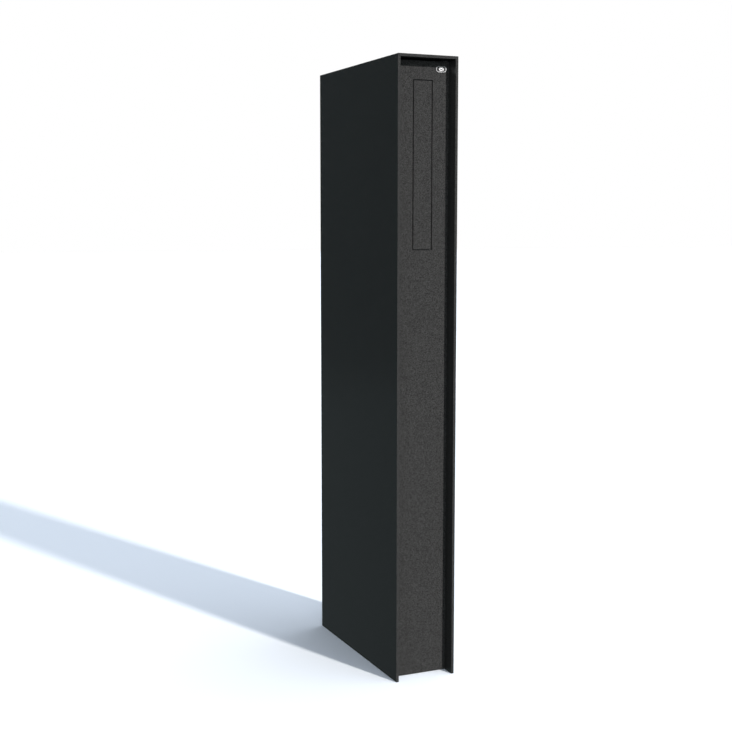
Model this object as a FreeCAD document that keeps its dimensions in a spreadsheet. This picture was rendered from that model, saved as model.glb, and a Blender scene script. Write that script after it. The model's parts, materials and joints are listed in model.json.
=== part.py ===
import FreeCAD, Part
import math
import os
import re

import Sketcher

# Slim letter and parcel locker that stands on the ground.
# A shell of three welded plates holds a set-back front panel with an upright sprung flap, a shelf inside
# and a locked door at the rear. Lengths are in millimetres. +Z is up, the front faces -Y and +X is on the
# right of a person who faces the flap. The origin is on the ground, at the middle of the footprint.

# ---------------------------------------------------------------------------------------------------------
# Driving dimensions: name, value, meaning
# ---------------------------------------------------------------------------------------------------------
DIMENSIONS = (
    ("overall_width", 130, "shell, outside, left to right"),
    ("overall_depth", 400, "shell, outside, front to back"),
    ("overall_height", 1240, "shell, outside, ground to top"),
    ("plate", 5.5, "thickness of side and top plates"),
    ("base_sheet", 8, "thickness of the base plate"),
    ("anchor_spacing_x", 70, "ground anchors, left to right"),
    ("anchor_spacing_y", 240, "ground anchors, front to back"),
    ("anchor_radius", 6, "ground anchor holes"),
    ("rail_leg", 15, "leg of the angle rails, outside"),
    ("rail_sheet", 2, "thickness of the angle rails"),
    ("door_stop_sheet", 4, "thickness of the flat bars that the door closes on"),
    ("front_recess", 29, "front panel face behind the shell's front edge"),
    ("front_sheet", 3, "thickness of the front panel"),
    ("panel_top_gap", 2.5, "front panel to top plate"),
    ("panel_side_gap", 0.3, "front panel to each side plate"),
    ("panel_floor_gap", 1, "front panel to ground"),
    ("stud_radius", 2.5, "weld studs of the front panel"),
    ("stud_length", 12, "weld studs of the front panel"),
    ("stud_hole_clearance", 0.25, "added to a stud's radius in its hole"),
    ("stud_inset", 8.5, "stud axis to the side plate's inner face"),
    ("stud_end_inset", 60, "first and last stud to the panel's ends"),
    ("stud_nut_radius", 4.6, "nut on a panel stud, centre to corner"),
    ("stud_nut_height", 4, "nut on a panel stud"),
    ("slot_width", 43, "opening for the flap"),
    ("slot_height", 331.4, "opening for the flap"),
    ("slot_drop", 38.6, "top plate's underside to the opening's top"),
    ("slot_offset", 2.5, "opening's centre line, right of the middle"),
    ("slot_corner_radius", 2, "corners of the opening"),
    ("flap_gap", 2, "gap round the flap"),
    ("flap_corner_radius", 1, "corners of the flap"),
    ("flap_seal_space", 1.5, "panel's back to the carrier"),
    ("flap_seal_width", 4, "seal strip round the opening"),
    ("flap_seal_clearance", 0.2, "seal to the closed carrier"),
    ("carrier_sheet", 1.5, "thickness of the flap's carrier"),
    ("carrier_lap", 6, "carrier past the opening's edges"),
    ("flap_pivot_inset", 5, "pivot outside the opening's hinge edge"),
    ("flap_pivot_setback", 7, "pivot behind the panel's back"),
    ("flap_pin_radius", 2, "hinge pin of the flap"),
    ("flap_pin_head_radius", 3.5, "head on the flap's hinge pin"),
    ("flap_pin_head_height", 1.5, "head on the flap's hinge pin"),
    ("flap_pin_tail", 2.5, "pin below the lower bracket's ear"),
    ("flap_clip_radius", 4, "retaining clip on the pin"),
    ("flap_clip_sheet", 0.8, "thickness of the retaining clip"),
    ("flap_head_gap", 0.2, "pin's head and clip to the brackets' other legs"),
    ("flap_end_gap", 1, "carrier to each bracket's ear"),
    ("flap_washer_radius", 4, "washers at the carrier's ends"),
    ("flap_washer_sheet", 0.8, "thickness of those washers"),
    ("running_clearance", 0.05, "added to a pin's or plug's radius in its bore"),
    ("knuckle_radius", 4.5, "knuckles of the carrier"),
    ("knuckle_length", 60, "knuckles of the carrier"),
    ("knuckle_web", 2, "web from the carrier's sheet to each knuckle"),
    ("bracket_width", 12, "flap bracket, left to right"),
    ("bracket_reach", 13, "ear of the flap bracket, front to back"),
    ("bracket_height", 24, "flap bracket, up the panel"),
    ("bracket_sheet", 2, "thickness of the flap bracket"),
    ("bracket_stud_radius", 2, "weld studs of the flap brackets"),
    ("bracket_stud_length", 8, "weld studs of the flap brackets"),
    ("bracket_stud_first", 9.5, "ear's face to the nearer stud"),
    ("bracket_stud_pitch", 9, "between a bracket's two studs"),
    ("bracket_nut_radius", 4, "nut on a bracket stud, centre to corner"),
    ("bracket_nut_height", 3.2, "nut on a bracket stud"),
    ("spring_wire_radius", 0.5, "return spring's wire"),
    ("spring_gap", 0.1, "spring to the carrier"),
    ("spring_bore_gap", 0.3, "least gap between the pin and the spring's turns"),
    ("spring_pitch", 1.2, "between the spring's turns"),
    ("spring_leg", 9, "length of the spring's legs"),
    ("badge_width", 22, "badge on the front panel"),
    ("badge_height", 11.5, "badge on the front panel"),
    ("badge_sheet", 0.8, "thickness of the badge"),
    ("badge_corner_radius", 4.5, "corners of the badge"),
    ("badge_side_inset", 17.2, "badge's centre to the right side plate"),
    ("badge_drop", 17.3, "badge's centre below the top plate"),
    ("shelf_height", 560, "ground to the shelf's upper face"),
    ("shelf_sheet", 2, "thickness of the shelf"),
    ("shelf_side_gap", 1, "shelf to each side plate"),
    ("shelf_end_gap", 3, "shelf to the rails' legs"),
    ("shelf_front_lip", 12, "lip turned down at the front"),
    ("shelf_rear_lip", 30, "lip turned up at the rear"),
    ("shelf_bracket_inset", 8, "bracket's ends inside the shelf's ends"),
    ("shelf_screw_radius", 2, "screws of the shelf"),
    ("shelf_screw_length", 8, "screws of the shelf, under the head"),
    ("shelf_screw_head_radius", 3.8, "screws of the shelf"),
    ("shelf_screw_head_height", 2.2, "screws of the shelf"),
    ("shelf_screw_clearance", 0.1, "added to a screw's radius in its hole"),
    ("shelf_screw_end_inset", 40, "screws to the shelf's ends"),
    ("rear_recess", 14, "door's face inside the shell's rear edge"),
    ("door_sheet", 2, "thickness of the door"),
    ("door_return", 14, "depth of the door's folded edges"),
    ("door_gap", 3, "door to the side plates and the top plate"),
    ("door_floor_gap", 6, "door to ground"),
    ("door_rebate", 4, "door's folded edges to the rear rails"),
    ("door_seal_clearance", 0.6, "seal to the door's folded edges"),
    ("door_seal_width", 6, "width of the seal strip"),
    ("door_seal_lap", 1, "seal outside the door's outline"),
    ("buffer_radius", 3, "rubber buffers behind the door"),
    ("buffer_inset", 11.5, "buffer's axis to the left side plate"),
    ("buffer_end_inset", 150, "buffers to the door's ends"),
    ("buffer_clearance", 0.1, "buffer to the closed door"),
    ("hinge_standoff", 6, "hinge axis to the side plate and to the door's face"),
    ("hinge_radius", 4.5, "barrels of the door hinges"),
    ("hinge_half", 30, "length of one barrel"),
    ("hinge_pad", 6, "width of the weld pad on a barrel"),
    ("hinge_cap", 3, "closed end of a barrel"),
    ("hinge_pin_radius", 2.5, "pins of the door hinges"),
    ("hinge_washer_sheet", 1, "washer between the two barrels"),
    ("hinge_axial_gap", 0.1, "washer to the moving barrel"),
    ("hinge_pin_top_gap", 0.5, "pin's end to the moving barrel's cap"),
    ("hinge_end_inset", 110, "outer hinges to the shell's ends"),
    ("lock_height", 660, "lock's axis above the ground"),
    ("lock_inset", 26.5, "lock's axis to the door's free edge"),
    ("lock_flange_radius", 11, "lock's face on the door"),
    ("lock_flange_sheet", 3, "thickness of the lock's face"),
    ("lock_body_radius", 8.5, "threaded barrel of the lock"),
    ("lock_hole_clearance", 0.1, "added to the barrel's radius in the door and the nut"),
    ("lock_nut_radius", 14, "lock's nut, centre to corner"),
    ("lock_nut_height", 4, "lock's nut"),
    ("plug_radius", 6, "turning plug of the lock"),
    ("key_slot_width", 1.6, "slot for the key"),
    ("key_slot_height", 8, "slot for the key"),
    ("key_slot_depth", 8, "slot for the key"),
    ("cam_sheet", 2, "thickness of the cam"),
    ("cam_gap", 1, "cam to the rail in front of it and to the lock's barrel"),
    ("cam_half_width", 7, "cam"),
    ("cam_reach", 24, "lock's axis to the cam's tip"),
    ("cam_screw_radius", 2, "screw that holds the cam"),
    ("cam_screw_depth", 8, "screw inside the plug"),
    ("cam_screw_head_radius", 4, "screw that holds the cam"),
    ("cam_screw_head_height", 2.5, "screw that holds the cam"),
)

# Counts
STUDS_PER_SIDE = 4
STUDS_PER_BRACKET = 2
SPRING_TURNS = 8
DOOR_HINGES = ("lower", "middle", "upper")
HEXAGON = 6

# ---------------------------------------------------------------------------------------------------------
# Places worked out from the driving dimensions
# ---------------------------------------------------------------------------------------------------------
INNER_HALF = "(overall_width / 2 - plate)"
UNDERSIDE = "(overall_height - plate)"
PANEL_FACE = "(front_recess - overall_depth / 2)"
PANEL_BACK = f"({PANEL_FACE} + front_sheet)"
PANEL_TOP = f"({UNDERSIDE} - panel_top_gap)"
PANEL_HALF = f"({INNER_HALF} - panel_side_gap)"
SLOT_LEFT = "(slot_offset - slot_width / 2)"
SLOT_TOP = f"({UNDERSIDE} - slot_drop)"
SLOT_BOTTOM = f"({SLOT_TOP} - slot_height)"
FLAP_PIVOT_X = f"({SLOT_LEFT} - flap_pivot_inset)"
FLAP_PIVOT_Y = f"({PANEL_BACK} + flap_pivot_setback)"
SPRING_LINE = "(flap_pivot_setback - flap_seal_space - carrier_sheet - spring_wire_radius - spring_gap)"
SPRING_COIL = "(flap_pin_radius + spring_bore_gap + spring_wire_radius)"
SPRING_HEIGHT = f"({SPRING_TURNS} * spring_pitch)"
CARRIER_BOTTOM = f"({SLOT_BOTTOM} - carrier_lap)"
CARRIER_TOP = f"({SLOT_TOP} + carrier_lap)"
LOWER_EAR = f"({CARRIER_BOTTOM} - flap_end_gap - bracket_sheet)"
UPPER_EAR = f"({CARRIER_TOP} + flap_end_gap)"
DOOR_FACE = "(overall_depth / 2 - rear_recess)"
DOOR_EDGE = f"({DOOR_FACE} - door_return)"
DOOR_HALF = f"({INNER_HALF} - door_gap)"
DOOR_TOP = f"({UNDERSIDE} - door_gap)"
DOOR_HEIGHT = f"({DOOR_TOP} - door_floor_gap)"
REAR_RAIL_FACE = f"({DOOR_EDGE} - door_rebate)"
SHELF_FRONT = f"({PANEL_BACK} + rail_leg + shelf_end_gap)"
SHELF_REAR = f"({REAR_RAIL_FACE} - rail_leg - shelf_end_gap)"
SHELF_DEPTH = f"({SHELF_REAR} - {SHELF_FRONT})"
HINGE_X = f"({INNER_HALF} - hinge_standoff)"
HINGE_Y = f"({DOOR_FACE} + hinge_standoff)"
HINGE_BORE = "(hinge_half - hinge_cap)"
HINGE_HEIGHT = "(2 * hinge_half + hinge_washer_sheet + hinge_axial_gap)"
LOCK_X = f"(lock_inset - {DOOR_HALF})"
CAM_FACE = f"({REAR_RAIL_FACE} - door_stop_sheet - cam_gap)"

# Directions in which a primitive's own Z axis can point.
ALONG_Z = FreeCAD.Rotation()
ALONG_Y = FreeCAD.Rotation(FreeCAD.Vector(1, 0, 0), -90)

# A pad on one of these planes grows towards the plane's positive axis only when it is reversed or not.
PAD_REVERSED = {"XY_Plane": False, "XZ_Plane": True, "YZ_Plane": False}

doc = FreeCAD.newDocument("parcel_locker")
sheet = doc.addObject("Spreadsheet::Sheet", "dims")
nodes = []


# ---------------------------------------------------------------------------------------------------------
# Sheet and expressions
# ---------------------------------------------------------------------------------------------------------
def fill_sheet():
    """Write each driving dimension on its own row: name, value and meaning."""
    for row, (name, number, meaning) in enumerate(DIMENSIONS, start=1):
        sheet.set(f"A{row}", name)
        sheet.set(f"B{row}", str(number))
        sheet.set(f"C{row}", meaning)
        sheet.setAlias(f"B{row}", name)
    doc.recompute()


def formula(text):
    """Point each bare dimension name at its cell in the sheet."""
    return re.sub(r"[a-z_]{2,}", r"dims.\g<0>", text)


def value(text):
    """Present value of a formula."""
    return float(sheet.evalExpression(formula(text)))


def bind(item, name, text):
    """Tie a property to a formula."""
    item.setExpression(name, formula(text))


def place(item, x, y, z):
    """Tie the three coordinates of an object's Placement to formulas."""
    for axis, text in zip("xyz", (x, y, z)):
        bind(item, f"Placement.Base.{axis}", text)


def node(item):
    """Keep an object as a sub-part of its own."""
    nodes.append(item)
    return item


# ---------------------------------------------------------------------------------------------------------
# Sketched bodies
# ---------------------------------------------------------------------------------------------------------
def rectangle(left, bottom, right, top):
    """Corners of a rectangle."""
    return [(left, bottom), (right, bottom), (right, top), (left, top)]


def mirrored(text, span):
    """Coordinate of a point mirrored inside 0 to span."""
    swapped = {"0": span, span: "0"}
    return swapped.get(text, f"({span} - {text})")


def angle_section(width, height, thickness, flip_x=False, flip_y=False):
    """Corners of an L whose heel is at the origin, or at another corner of its box when flipped."""
    corners = [
        ("0", "0"),
        (width, "0"),
        (width, thickness),
        (thickness, thickness),
        (thickness, height),
        ("0", height),
    ]
    if flip_x:
        corners = [(mirrored(x, width), y) for x, y in corners]
    if flip_y:
        corners = [(x, mirrored(y, height)) for x, y in corners]
    return corners


def hold_point(sketch, item, point, x, y):
    """Fix a sketch point at two formulas measured from the sketch's origin."""
    for axis, text, across in (("X", x, -2), ("Y", y, -1)):
        if text == "0":
            sketch.addConstraint(Sketcher.Constraint("PointOnObject", item, point, across))
            continue
        number = sketch.addConstraint(
            Sketcher.Constraint(f"Distance{axis}", -1, 1, item, point, value(text))
        )
        bind(sketch, f"Constraints[{number}]", text)


def draw_polygon(sketch, corners):
    """Closed outline of straight lines through the corners."""
    points = [FreeCAD.Vector(value(x), value(y), 0) for x, y in corners]
    first = sketch.GeometryCount
    for start, end in zip(points, points[1:] + points[:1]):
        sketch.addGeometry(Part.LineSegment(start, end))
    for index, (x, y) in enumerate(corners):
        following = first + (index + 1) % len(corners)
        sketch.addConstraint(Sketcher.Constraint("Coincident", first + index, 2, following, 1))
        hold_point(sketch, first + index, 1, x, y)


def draw_circle(sketch, x, y, radius):
    """Circle at two formulas."""
    centre = FreeCAD.Vector(value(x), value(y), 0)
    item = sketch.addGeometry(Part.Circle(centre, FreeCAD.Vector(0, 0, 1), value(radius)))
    hold_point(sketch, item, 3, x, y)
    number = sketch.addConstraint(Sketcher.Constraint("Radius", item, value(radius)))
    bind(sketch, f"Constraints[{number}]", radius)


def new_sketch(body, plane, polygons=(), circles=()):
    """Sketch on one of the body's own planes, through the body's origin."""
    sketch = body.newObject("Sketcher::SketchObject", f"{body.Label}_sketch")
    support = next(item for item in body.Origin.OriginFeatures if item.Role == plane)
    sketch.AttachmentSupport = [(support, "")]
    sketch.MapMode = "FlatFace"
    for corners in polygons:
        draw_polygon(sketch, corners)
    for circle in circles:
        draw_circle(sketch, *circle)
    return sketch


def new_body(label, position, plane, length, polygons, circles=()):
    """Body padded from a sketch on one of its own planes, towards the plane's positive axis."""
    body = doc.addObject("PartDesign::Body", label)
    body.Label = label
    place(body, *position)
    pad = body.newObject("PartDesign::Pad", f"{label}_pad")
    pad.Profile = new_sketch(body, plane, polygons, circles)
    pad.Reversed = PAD_REVERSED[plane]
    bind(pad, "Length", length)
    body.Tip = pad
    doc.recompute()
    return body


def cut_from_plane(body, plane, polygons=(), circles=(), depth=None):
    """Pocket from one of the body's own planes, towards its positive axis; without a depth, right through."""
    before = body.Shape.Volume
    pocket = body.newObject("PartDesign::Pocket", f"{body.Label}_pocket")
    pocket.Profile = new_sketch(body, plane, polygons, circles)
    pocket.Reversed = not PAD_REVERSED[plane]
    if depth is None:
        pocket.Type = "ThroughAll"
    else:
        bind(pocket, "Length", depth)
    body.Tip = pocket
    doc.recompute()
    if not body.Shape.Volume < before:
        raise RuntimeError(f"the pocket in {body.Label} cut nothing")


def round_corners(body, axis, radius, low=None, high=None):
    """Round the body's edges that run along axis, or only those between two X positions in the body."""
    base = body.Tip
    direction = FreeCAD.Vector(*axis)
    names = []
    for number, edge in enumerate(base.Shape.Edges, start=1):
        along = (edge.Vertexes[-1].Point - edge.Vertexes[0].Point).normalize()
        inside = low is None or value(low) < edge.CenterOfMass.x < value(high)
        if abs(along.dot(direction)) > 1 - Part.Precision.confusion() and inside:
            names.append(f"Edge{number}")
    fillet = body.newObject("PartDesign::Fillet", f"{body.Label}_fillet")
    fillet.Base = (base, names)
    bind(fillet, "Radius", radius)
    body.Tip = fillet
    doc.recompute()


# ---------------------------------------------------------------------------------------------------------
# Primitives and booleans
# ---------------------------------------------------------------------------------------------------------
def box(label, size, position):
    """Box from its lowest corner."""
    item = doc.addObject("Part::Box", label)
    for name, text in zip(("Length", "Width", "Height"), size):
        bind(item, name, text)
    place(item, *position)
    return item


def cylinder(label, radius, height, position, rotation=ALONG_Z):
    """Cylinder from the centre of its first end."""
    item = doc.addObject("Part::Cylinder", label)
    bind(item, "Radius", radius)
    bind(item, "Height", height)
    item.Placement = FreeCAD.Placement(FreeCAD.Vector(), rotation)
    place(item, *position)
    return item


def hexagon(label, radius, height, position):
    """Hexagonal prism along Y from the centre of its first end."""
    item = doc.addObject("Part::Prism", label)
    item.Polygon = HEXAGON
    bind(item, "Circumradius", radius)
    bind(item, "Height", height)
    item.Placement = FreeCAD.Placement(FreeCAD.Vector(), ALONG_Y)
    place(item, *position)
    return item


def fuse(label, *items):
    """One solid from several that overlap."""
    item = doc.addObject("Part::MultiFuse", label)
    item.Shapes = list(items)
    return item


def cut(label, base, tool):
    """Base without tool."""
    item = doc.addObject("Part::Cut", label)
    item.Base = base
    item.Tool = tool
    return item


def group(label, items):
    """Separate solids kept as one sub-part."""
    item = doc.addObject("Part::Compound", label)
    item.Links = list(items)
    return item


def ring(label, outer, inner, height, position, rotation=ALONG_Z):
    """Flat washer or sleeve."""
    return cut(
        label,
        cylinder(f"{label}_disc", outer, height, position, rotation),
        cylinder(f"{label}_bore", inner, height, position, rotation),
    )


def hexagon_nut(label, corner_radius, bore_radius, height, position):
    """Nut along Y."""
    return cut(
        label,
        hexagon(f"{label}_blank", corner_radius, height, position),
        cylinder(f"{label}_bore", bore_radius, height, position, ALONG_Y),
    )


# ---------------------------------------------------------------------------------------------------------
# Shell and base
# ---------------------------------------------------------------------------------------------------------
def shell_plates():
    """Two side plates and a top plate, mitred where they meet."""
    left = [("0", "0"), ("plate", "0"), ("plate", UNDERSIDE), ("0", "overall_height")]
    right = [("0", "0"), ("plate", "0"), ("plate", "overall_height"), ("0", UNDERSIDE)]
    top = [
        ("plate", "0"),
        ("(overall_width - plate)", "0"),
        ("overall_width", "plate"),
        ("0", "plate"),
    ]
    rear_of_front = "-overall_depth / 2"
    outer_left = "-overall_width / 2"
    plates = (
        ("left_side_panel", (outer_left, rear_of_front, "0"), left),
        ("right_side_panel", (INNER_HALF, rear_of_front, "0"), right),
        ("top_panel", (outer_left, rear_of_front, UNDERSIDE), top),
    )
    for label, position, corners in plates:
        node(new_body(label, position, "XZ_Plane", "overall_depth", [corners]))


def base_plate():
    """Plate between the side plates, with four holes for ground anchors about the middle."""
    depth = f"({REAR_RAIL_FACE} - {PANEL_BACK})"
    holes = [
        (f"({INNER_HALF} {x_sign} anchor_spacing_x / 2)",
         f"(-{PANEL_BACK} {y_sign} anchor_spacing_y / 2)",
         "anchor_radius")
        for x_sign in "-+" for y_sign in "-+"
    ]
    outline = rectangle("0", "0", f"(2 * {INNER_HALF})", depth)
    position = (f"-{INNER_HALF}", PANEL_BACK, "0")
    node(new_body("base_plate", position, "XY_Plane", "base_sheet", [outline], holes))


def stud_height(index):
    """Height of a front panel stud above the ground."""
    span = f"({PANEL_TOP} - panel_floor_gap - 2 * stud_end_inset)"
    return f"(panel_floor_gap + stud_end_inset + {span} * {index} / {STUDS_PER_SIDE - 1})"


def front_rails():
    """Angle rails up the side plates behind the front panel, drilled for its studs."""
    for label, right_side in (("front_rail_left", False), ("front_rail_right", True)):
        section = angle_section("rail_leg", "rail_leg", "rail_sheet", right_side, False)
        left = f"({INNER_HALF} - rail_leg)" if right_side else f"-{INNER_HALF}"
        height = f"({UNDERSIDE} - base_sheet)"
        rail = node(new_body(label, (left, PANEL_BACK, "base_sheet"), "XY_Plane", height, [section]))
        x = "(rail_leg - stud_inset)" if right_side else "stud_inset"
        holes = [
            (x, f"({stud_height(index)} - base_sheet)", "(stud_radius + stud_hole_clearance)")
            for index in range(STUDS_PER_SIDE)
        ]
        cut_from_plane(rail, "XZ_Plane", circles=holes)


def rear_frame():
    """Two flat bars up the side plates, and a top rail and a sill, that the door closes on."""
    height = f"({UNDERSIDE} - base_sheet)"
    y = f"({REAR_RAIL_FACE} - door_stop_sheet)"
    for label, left in (
        ("rear_rail_left", f"-{INNER_HALF}"),
        ("rear_rail_right", f"({INNER_HALF} - rail_leg)"),
    ):
        section = rectangle("0", "0", "rail_leg", "door_stop_sheet")
        node(new_body(label, (left, y, "base_sheet"), "XY_Plane", height, [section]))
    half = f"({INNER_HALF} - rail_leg)"
    y = f"({REAR_RAIL_FACE} - rail_leg)"
    for label, z, at_top in (
        ("rear_rail_top", f"({UNDERSIDE} - rail_leg)", True),
        ("rear_sill", "base_sheet", False),
    ):
        section = angle_section("rail_leg", "rail_leg", "rail_sheet", True, at_top)
        node(new_body(label, (f"-{half}", y, z), "YZ_Plane", f"(2 * {half})", [section]))


# ---------------------------------------------------------------------------------------------------------
# Front panel
# ---------------------------------------------------------------------------------------------------------
def front_panel():
    """Flat panel with the upright opening."""
    left = f"({SLOT_LEFT} + {PANEL_HALF})"
    bottom = f"({SLOT_BOTTOM} - panel_floor_gap)"
    slot = rectangle(left, bottom, f"({left} + slot_width)", f"({bottom} + slot_height)")
    width = f"(2 * {PANEL_HALF})"
    outline = rectangle("0", "0", width, f"({PANEL_TOP} - panel_floor_gap)")
    position = (f"-{PANEL_HALF}", PANEL_FACE, "panel_floor_gap")
    panel = node(new_body("front_panel", position, "XZ_Plane", "front_sheet", [outline, slot]))
    round_corners(panel, (0, 1, 0), "slot_corner_radius", "panel_side_gap", f"({width} - panel_side_gap)")


def front_panel_fixings():
    """Weld studs on the panel's back and the nuts behind the rails."""
    studs = []
    nuts = []
    for side in ("-", ""):
        x = f"{side}({INNER_HALF} - stud_inset)"
        for index in range(STUDS_PER_SIDE):
            z = stud_height(index)
            behind_rail = (x, f"({PANEL_BACK} + rail_sheet)", z)
            studs.append(
                cylinder("panel_stud", "stud_radius", "stud_length", (x, PANEL_BACK, z), ALONG_Y)
            )
            bore = "(stud_radius + running_clearance)"
            nuts.append(hexagon_nut("panel_nut", "stud_nut_radius", bore, "stud_nut_height", behind_rail))
    node(group("front_panel_studs", studs))
    node(group("front_panel_nuts", nuts))


def badge_plate():
    """Small plain plate near the panel's top right corner."""
    x = f"({INNER_HALF} - badge_side_inset - badge_width / 2)"
    z = f"({UNDERSIDE} - badge_drop - badge_height / 2)"
    outline = rectangle("0", "0", "badge_width", "badge_height")
    position = (x, f"({PANEL_FACE} - badge_sheet)", z)
    badge = node(new_body("badge_plate", position, "XZ_Plane", "badge_sheet", [outline]))
    round_corners(badge, (0, 1, 0), "badge_corner_radius")


# ---------------------------------------------------------------------------------------------------------
# Flap
# ---------------------------------------------------------------------------------------------------------
def flap_plate():
    """Face of the flap, flush with the panel."""
    width = "(slot_width - 2 * flap_gap)"
    height = "(slot_height - 2 * flap_gap)"
    position = (f"({SLOT_LEFT} + flap_gap)", PANEL_FACE, f"({SLOT_BOTTOM} + flap_gap)")
    thickness = "(front_sheet + flap_seal_space)"
    outline = rectangle("0", "0", width, height)
    plate = node(new_body("flap_plate", position, "XZ_Plane", thickness, [outline]))
    round_corners(plate, (0, 1, 0), "flap_corner_radius")


def flap_carrier():
    """Sheet behind the flap that laps the panel's back, with two knuckles on the hinge pin."""
    height = f"({CARRIER_TOP} - {CARRIER_BOTTOM})"
    leaf = box(
        "carrier_leaf",
        ("(flap_pivot_inset + slot_width + carrier_lap)", "carrier_sheet", height),
        (FLAP_PIVOT_X, f"({PANEL_BACK} + flap_seal_space)", CARRIER_BOTTOM),
    )
    web_depth = "(flap_pivot_setback - flap_seal_space - carrier_sheet)"
    knuckles = []
    for z in (CARRIER_BOTTOM, f"({CARRIER_TOP} - knuckle_length)"):
        knuckles.append(
            cylinder("carrier_knuckle", "knuckle_radius", "knuckle_length", (FLAP_PIVOT_X, FLAP_PIVOT_Y, z))
        )
        web_place = (FLAP_PIVOT_X, f"({FLAP_PIVOT_Y} - {web_depth})", z)
        knuckles.append(box("carrier_web", ("knuckle_web", web_depth, "knuckle_length"), web_place))
    bore_radius = "(flap_pin_radius + running_clearance)"
    bore = cylinder("carrier_bore", bore_radius, height, (FLAP_PIVOT_X, FLAP_PIVOT_Y, CARRIER_BOTTOM))
    relief = cylinder(
        "carrier_relief",
        f"({SPRING_COIL} + spring_wire_radius + spring_gap)",
        f"(2 * {SPRING_HEIGHT})",
        (FLAP_PIVOT_X, FLAP_PIVOT_Y, f"(({SLOT_TOP} + {SLOT_BOTTOM}) / 2 - {SPRING_HEIGHT})"),
    )
    space = fuse("carrier_space", bore, relief)
    node(cut("flap_carrier", fuse("carrier_blank", leaf, *knuckles), space))


def flap_seal():
    """Rubber frame on the panel's back, round the opening."""
    width = "(slot_width + 2 * flap_seal_width)"
    height = "(slot_height + 2 * flap_seal_width)"
    outer = rectangle("0", "0", width, height)
    inner = rectangle(
        "flap_seal_width", "flap_seal_width", f"({width} - flap_seal_width)", f"({height} - flap_seal_width)"
    )
    position = (f"({SLOT_LEFT} - flap_seal_width)", PANEL_BACK, f"({SLOT_BOTTOM} - flap_seal_width)")
    thickness = "(flap_seal_space - flap_seal_clearance)"
    node(new_body("flap_seal", position, "XZ_Plane", thickness, [outer, inner]))


def bracket_stud_offset(index):
    """Distance of a bracket's stud from the outer face of its ear."""
    return f"(bracket_stud_first + {index} * bracket_stud_pitch)"


def flap_bracket(label, upper):
    """Bracket on the panel's back whose ear carries one end of the hinge pin."""
    section = angle_section("bracket_reach", "bracket_height", "bracket_sheet", False, not upper)
    z = UPPER_EAR if upper else f"({LOWER_EAR} + bracket_sheet - bracket_height)"
    position = (f"({FLAP_PIVOT_X} - bracket_width / 2)", PANEL_BACK, z)
    bracket = node(new_body(label, position, "YZ_Plane", "bracket_width", [section]))
    pin_hole = ("(bracket_width / 2)", "flap_pivot_setback", "(flap_pin_radius + running_clearance)")
    cut_from_plane(bracket, "XY_Plane", circles=[pin_hole])
    stud_holes = []
    for index in range(STUDS_PER_BRACKET):
        offset = bracket_stud_offset(index)
        height = offset if upper else f"(bracket_height - {offset})"
        stud_holes.append(("(bracket_width / 2)", height, "(bracket_stud_radius + stud_hole_clearance)"))
    cut_from_plane(bracket, "XZ_Plane", circles=stud_holes)


def flap_bracket_fixings():
    """Weld studs on the panel's back that hold the two brackets, and their nuts."""
    studs = []
    nuts = []
    ears = ((UPPER_EAR, "+"), (f"({LOWER_EAR} + bracket_sheet)", "-"))
    for ear, direction in ears:
        for index in range(STUDS_PER_BRACKET):
            z = f"({ear} {direction} {bracket_stud_offset(index)})"
            stud_place = (FLAP_PIVOT_X, PANEL_BACK, z)
            nut_place = (FLAP_PIVOT_X, f"({PANEL_BACK} + bracket_sheet)", z)
            studs.append(
                cylinder("bracket_stud", "bracket_stud_radius", "bracket_stud_length", stud_place, ALONG_Y)
            )
            bore = "(bracket_stud_radius + running_clearance)"
            nuts.append(
                hexagon_nut("bracket_nut", "bracket_nut_radius", bore, "bracket_nut_height", nut_place)
            )
    node(group("flap_bracket_studs", studs))
    node(group("flap_bracket_nuts", nuts))


def flap_pin_disc(label, radius, height, z):
    """Disc round the pin, with a flat where it would meet the bracket's leg on the panel."""
    disc = cylinder(f"{label}_disc", radius, height, (FLAP_PIVOT_X, FLAP_PIVOT_Y, z))
    leg = box(
        f"{label}_flat",
        (f"(2 * {radius})", "(bracket_sheet + flap_head_gap)", height),
        (f"({FLAP_PIVOT_X} - {radius})", PANEL_BACK, z),
    )
    return cut(label, disc, leg)


def flap_hinge():
    """Headed pin that hangs from the upper ear, its clip under the lower ear and two washers."""
    foot = f"({LOWER_EAR} - flap_pin_tail)"
    head = f"({UPPER_EAR} + bracket_sheet)"
    shank = cylinder(
        "flap_pin_shank", "flap_pin_radius", f"({head} - {foot})", (FLAP_PIVOT_X, FLAP_PIVOT_Y, foot)
    )
    cap = flap_pin_disc("flap_pin_head", "flap_pin_head_radius", "flap_pin_head_height", head)
    node(fuse("flap_hinge_pin", shank, cap))
    bore = "(flap_pin_radius + running_clearance)"
    under = f"({LOWER_EAR} - flap_clip_sheet)"
    clip = flap_pin_disc("flap_clip_blank", "flap_clip_radius", "flap_clip_sheet", under)
    clip_bore = cylinder("flap_clip_bore", bore, "flap_clip_sheet", (FLAP_PIVOT_X, FLAP_PIVOT_Y, under))
    node(cut("flap_pin_clip", clip, clip_bore))
    washers = [
        ring("flap_washer", "flap_washer_radius", bore, "flap_washer_sheet", (FLAP_PIVOT_X, FLAP_PIVOT_Y, z))
        for z in (f"({LOWER_EAR} + bracket_sheet)", f"({UPPER_EAR} - flap_washer_sheet)")
    ]
    node(group("flap_washers", washers))


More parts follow.
